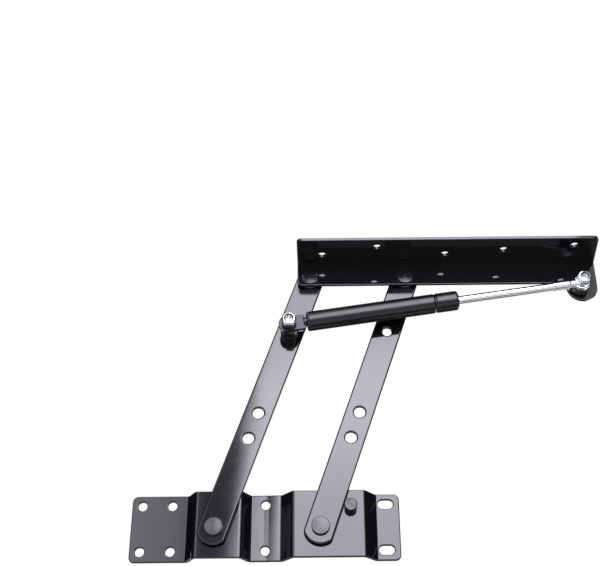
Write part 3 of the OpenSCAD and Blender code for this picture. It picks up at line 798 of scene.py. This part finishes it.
def bowFlat(points):
    # spring-back of the middle flat beside the front pad: y(x) = -rise ((x - from) / run)^2, which fades
    # out up the pad's wall
    x, y = points[:, 0], points[:, 1]
    share = np.clip((x - bowLook["from"]) / (bowLook["to"] - bowLook["from"]), 0, 1) ** 2
    fade = np.clip((bowLook["fade"] - x) / (bowLook["fade"] - bowLook["to"]), 0, 1)
    points[:, 1] = y - bowLook["rise"] * share * fade
    return points


def roundEdges(piece, width, weighted=False):
    # joins the CAD triangles, dissolves the flat ones and rounds the sharp edges, or the weighted ones
    weld = piece.modifiers.new("join", "WELD")
    weld.merge_threshold = weldReach
    flat = piece.modifiers.new("flatten", "DECIMATE")
    flat.decimate_type = "DISSOLVE"
    flat.angle_limit = flatAngle
    bevel = piece.modifiers.new("round", "BEVEL")
    bevel.width = width
    bevel.segments = edgeSegments
    bevel.limit_method = "WEIGHT" if weighted else "ANGLE"
    bevel.angle_limit = sharpAngle
    bevel.harden_normals = True
    bevel.use_clamp_overlap = False
    bevel.loop_slide = piece.name == "basePlate"  # the plate's slots need it, the others are cleaner without
    normals = piece.modifiers.new("shade", "WEIGHTED_NORMAL")
    normals.weight = 100
    normals.keep_sharp = weighted


# Sheared edges, tumbled before the enamel; widths in mm
edgeRounds = {
    "base_plate": 0.85, "rear_arm": 1.2, "front_arm": 1.2, "top_bracket": 0.5, "tube_end_eye": 0.3,
}
edgeSegments = 4
shaped = dict(nodes)
shaped["top_bracket"] = reshapedCopy("top_bracket", "topBracket", [], closeBend)
weighSharpEdges(shaped["top_bracket"], atInnerBend)
bowCuts = np.arange(bowLook["from"], bowLook["to"] + bowLook["cutEvery"], bowLook["cutEvery"])
shaped["base_plate"] = reshapedCopy("base_plate", "basePlate", bowCuts, bowFlat)
for node, width in edgeRounds.items():
    roundEdges(shaped[node], width * mm, weighted=node == "top_bracket")
print("edges rounded")


# Stage, lights and camera
# Heights and sizes in metres, angles in degrees
stageLook = {
    "floorHeight": -0.28, "floorSize": 3.0, "floorColour": "#d9dadb",
    "toothSize": 1.5 * mm, "toothDepth": 0.05 * mm, "ambient": 0.6,
    "clothRadius": 1.3, "clothLow": 0.21, "clothHigh": 2.1, "clothFrom": -40, "clothTo": 220,
    "clothCentre": 0.08, "clothColumns": 33, "napSize": 4 * mm,
    "velvet": ("#070708", "#0f0f10"), "felt": ("#525257", "#5e5e63"),
    "panelColour": (0.95, 0.96, 1.0, 1.0), "panelRadiance": 4.2,
}


def showOnly(card, diffuse=False):
    # a card out of the camera's sight that mirrors in the object; it casts no shadow
    card.visible_camera = False
    card.visible_diffuse = diffuse
    card.visible_transmission = False
    card.visible_shadow = False


def upright(left, right, bottom, top, depth):
    # corners of an upright card that stands square to the camera
    return [(left, depth, bottom), (right, depth, bottom), (right, depth, top), (left, depth, top)]


def addSurface(name, corners, material, faces=((0, 1, 2, 3),)):
    # flat or folded surface of the stage, in metres
    mesh = bpy.data.meshes.new(name)
    mesh.from_pydata(np.asarray(corners, float).tolist(), [], np.asarray(faces).tolist())
    mesh.materials.append(material)
    surface = bpy.data.objects.new(name, mesh)
    bpy.context.scene.collection.objects.link(surface)
    return surface


def clothMaterial(name, colours):
    # rough cloth with a faint nap
    material, tree = newMaterial(name)
    place = addNode(tree, "ShaderNodeTexCoord").outputs["Object"]
    nap = noiseOf(tree, place, stageLook["napSize"])
    finishMaterial(tree, {"Roughness": 1.0}, {"Base Color": blend(tree, nap, *colours)})
    return material


def glowingCloth(name, colour, radiance):
    # cloth over a lamp, the same brightness all over
    material, tree = newMaterial(name)
    glow = addNode(tree, "ShaderNodeEmission", {"Color": colour, "Strength": radiance})
    addNode(tree, "ShaderNodeOutputMaterial", {}, {"Surface": glow.outputs[0]})
    return material


def makeFloor():
    # pale paper with a fine tooth
    half = stageLook["floorSize"] / 2
    z = stageLook["floorHeight"]
    material, tree = newMaterial("palePaper")
    place = addNode(tree, "ShaderNodeTexCoord").outputs["Object"]
    tooth = addNode(
        tree, "ShaderNodeBump", {"Strength": 0.3, "Distance": stageLook["toothDepth"]},
        {"Height": noiseOf(tree, place, stageLook["toothSize"])},
    )
    finishMaterial(
        tree, {"Base Color": hexColour(stageLook["floorColour"]), "Roughness": 0.9},
        {"Normal": tooth.outputs["Normal"]},
    )
    corners = [(-half, -half, z), (half, -half, z), (half, half, z), (-half, half, z)]
    addSurface("paleFloor", corners, material)


def makeCards():
    # Black cloth and cards round the object: they draw the dark lines on enamel and chrome
    velvet = clothMaterial("blackVelvet", stageLook["velvet"])
    count = stageLook["clothColumns"]
    turn = np.radians(np.linspace(stageLook["clothFrom"], stageLook["clothTo"], count))
    ring = np.column_stack([
        stageLook["clothCentre"] + stageLook["clothRadius"] * np.cos(turn),
        stageLook["clothRadius"] * np.sin(turn),
    ])
    corners = np.concatenate([
        np.column_stack([ring, np.full(count, stageLook["clothLow"])]),
        np.column_stack([ring, np.full(count, stageLook["clothHigh"])]),
    ])
    across = np.arange(count - 1)
    faces = np.column_stack([across, across + 1, across + count + 1, across + count])
    showOnly(addSurface("backCloth", corners, velvet, faces))
    z = stageLook["floorHeight"] + 0.01
    cards = {
        "nadirStrip": [(0.05, -0.15, z), (0.5, -0.15, z), (0.5, 0.03, z), (0.05, 0.03, z)],
        "lowCard": upright(-0.6, 0.75, -0.04, 0.06, -0.82),
        "middleCard": upright(-0.5, 0.6, -0.27, 0.3, 1.15),
        "rightCard": [(0.8, -0.75, -0.2), (0.8, 0.3, -0.2), (0.8, 0.3, 0.9), (0.8, -0.75, 0.9)],
        "leftCard": [(-0.65, -0.75, -0.2), (-0.65, 0.3, -0.2), (-0.65, 0.3, 0.9), (-0.65, -0.75, 0.9)],
    }
    for name, corners in cards.items():
        showOnly(addSurface(name, corners, velvet))
    corners = [(-0.05, 0.25, z), (0.55, 0.25, z), (0.55, 0.95, z), (-0.05, 0.95, z)]
    showOnly(addSurface("groundFelt", corners, clothMaterial("greyFelt", stageLook["felt"])))


# The soft box in front: radiances, and places on its cloth in metres
boxLook = {
    "depth": -0.80, "left": -0.43, "right": 0.455, "bottom": 0.07, "top": 1.1,
    "colour": (0.88, 0.885, 1.0, 1.0), "radiance": 9.4,
    "levels": [(0.0, 0.58), (0.17, 0.73), (0.36, 0.98), (0.52, 0.76), (1.0, 0.62)],
    "rimAtBottom": -0.092, "rimAtTop": -0.048, "rimFoot": 0.15, "rimHead": 0.64, "rimSoftness": 0.018,
    "sidePanel": [(-0.43, 3.1), (-0.245, 2.6), (-0.165, 1.95), (-0.138, 0.35), (-0.10, 0.35)],
    "stripLight": {"left": 0.502, "right": 0.53, "bottom": 0.50, "top": 0.80, "radiance": 2.6},
}


def levelRamp(tree, factor, stops):
    # grey ramp through the stops, each a place from 0 to 1 and its level
    ramp = addNode(tree, "ShaderNodeValToRGB", {}, {"Fac": factor})
    for at, level in stops[1:-1]:
        ramp.color_ramp.elements.new(at)
    for element, (at, level) in zip(ramp.color_ramp.elements, stops):
        element.position = at
        element.color = (level, level, level, 1)
    return ramp


def makeSoftBox():
    # White cloth over the lamp, brightest along a level band; left of a slanted rim it is dim
    look = boxLook
    material, tree = newMaterial("softBoxCloth")
    place = addNode(tree, "ShaderNodeTexCoord").outputs["Object"]
    split = addNode(tree, "ShaderNodeSeparateXYZ", {}, {"Vector": place})
    x, z = split.outputs["X"], split.outputs["Z"]
    slope = (look["rimAtTop"] - look["rimAtBottom"]) / (look["rimHead"] - look["rimFoot"])
    straightened = addNode(tree, "ShaderNodeMath", {"operation": "MULTIPLY_ADD", 1: -slope}, {0: z, 2: x})
    rim = look["rimAtBottom"] - slope * look["rimFoot"]
    soft = look["rimSoftness"]
    lit = between(tree, straightened.outputs[0], rim - soft, rim + soft, 0.0, 1.0)
    rise = addNode(
        tree, "ShaderNodeMapRange", {"From Min": look["bottom"], "From Max": look["top"]}, {"Value": z}
    )
    ramp = levelRamp(tree, rise.outputs["Result"], look["levels"])
    ramp.color_ramp.interpolation = "EASE"
    key = addNode(
        tree, "ShaderNodeMath", {"operation": "MULTIPLY", 1: look["radiance"]}, {0: ramp.outputs["Color"]}
    )
    first, last = look["sidePanel"][0], look["sidePanel"][-1]
    along = addNode(tree, "ShaderNodeMapRange", {"From Min": first[0], "From Max": last[0]}, {"Value": x})
    stops = [((at - first[0]) / (last[0] - first[0]), level / first[1]) for at, level in look["sidePanel"]]
    panel = levelRamp(tree, along.outputs["Result"], stops)
    side = addNode(
        tree, "ShaderNodeMath", {"operation": "MULTIPLY", 1: first[1]}, {0: panel.outputs["Color"]}
    ).outputs[0]
    strength = addNode(
        tree, "ShaderNodeMix", {"data_type": "FLOAT"}, {0: lit, 2: side, 3: key.outputs[0]}
    )
    glow = addNode(
        tree, "ShaderNodeEmission", {"Color": look["colour"]}, {"Strength": strength.outputs[0]}
    )
    addNode(tree, "ShaderNodeOutputMaterial", {}, {"Surface": glow.outputs[0]})
    corners = upright(look["left"], look["right"], look["bottom"], look["top"], look["depth"])
    showOnly(addSurface("softBox", corners, material), diffuse=True)
    strip = look["stripLight"]
    corners = upright(strip["left"], strip["right"], strip["bottom"], strip["top"], look["depth"])
    cloth = glowingCloth("stripLightCloth", look["colour"], strip["radiance"])
    showOnly(addSurface("stripLight", corners, cloth))


def makeBackPanels():
    # Low lit panels behind and at the sides, mirrored mostly by faces turned away from the camera
    cloth = glowingCloth("backPanelCloth", stageLook["panelColour"], stageLook["panelRadiance"])
    panels = {
        "backPanelRight": [(0.7, 1.1, -0.26), (1.25, 0.45, -0.26), (1.25, 0.45, 0.3), (0.7, 1.1, 0.3)],
        "backPanelLeft": [(-0.6, 1.1, -0.26), (-1.1, 0.45, -0.26), (-1.1, 0.45, 0.3), (-0.6, 1.1, 0.3)],
    }
    for name, corners in panels.items():
        showOnly(addSurface(name, corners, cloth))


def makeWorld():
    # white to the camera, in reflections and through clear things; plainer as light
    world = bpy.data.worlds.new("studio")
    bpy.context.scene.world = world
    world.use_nodes = True
    tree = world.node_tree
    tree.nodes.clear()
    path = addNode(tree, "ShaderNodeLightPath")
    seen = addNode(
        tree, "ShaderNodeMath", {"operation": "MAXIMUM"},
        {0: path.outputs["Is Camera Ray"], 1: path.outputs["Is Glossy Ray"]},
    )
    seen = addNode(
        tree, "ShaderNodeMath", {"operation": "MAXIMUM"},
        {0: seen.outputs[0], 1: path.outputs["Is Transmission Ray"]},
    )
    strength = addNode(
        tree, "ShaderNodeMapRange", {"To Min": stageLook["ambient"], "To Max": 1.0},
        {"Value": seen.outputs[0]},
    )
    light = addNode(
        tree, "ShaderNodeBackground", {"Color": (1, 1, 1, 1)}, {"Strength": strength.outputs["Result"]}
    )
    addNode(tree, "ShaderNodeOutputWorld", {}, {"Surface": light.outputs[0]})


makeFloor()
makeCards()
makeSoftBox()
makeBackPanels()
makeWorld()

# Metres, degrees and millimetres; found by fitting a camera to the object's measured points
cameraLook = {
    "location": (0.04046, -0.7303, -0.22181),
    "turn": (120.1736, 0.4821, 0.2688),
    "focalLength": 62.4154,
    "shiftX": -0.03333,
    "sensorWidth": 36,
    "nearest": 0.01,
}
cameraData = bpy.data.cameras.new("camera")
cameraData.sensor_width = cameraLook["sensorWidth"]
cameraData.lens = cameraLook["focalLength"]
cameraData.shift_x = cameraLook["shiftX"]
cameraData.clip_start = cameraLook["nearest"]
camera = bpy.data.objects.new("camera", cameraData)
bpy.context.scene.collection.objects.link(camera)
camera.location = cameraLook["location"]
camera.rotation_euler = [math.radians(a) for a in cameraLook["turn"]]
bpy.context.scene.camera = camera
bpy.context.scene.view_settings.view_transform = "Standard"
print("stage, lights and camera ready")
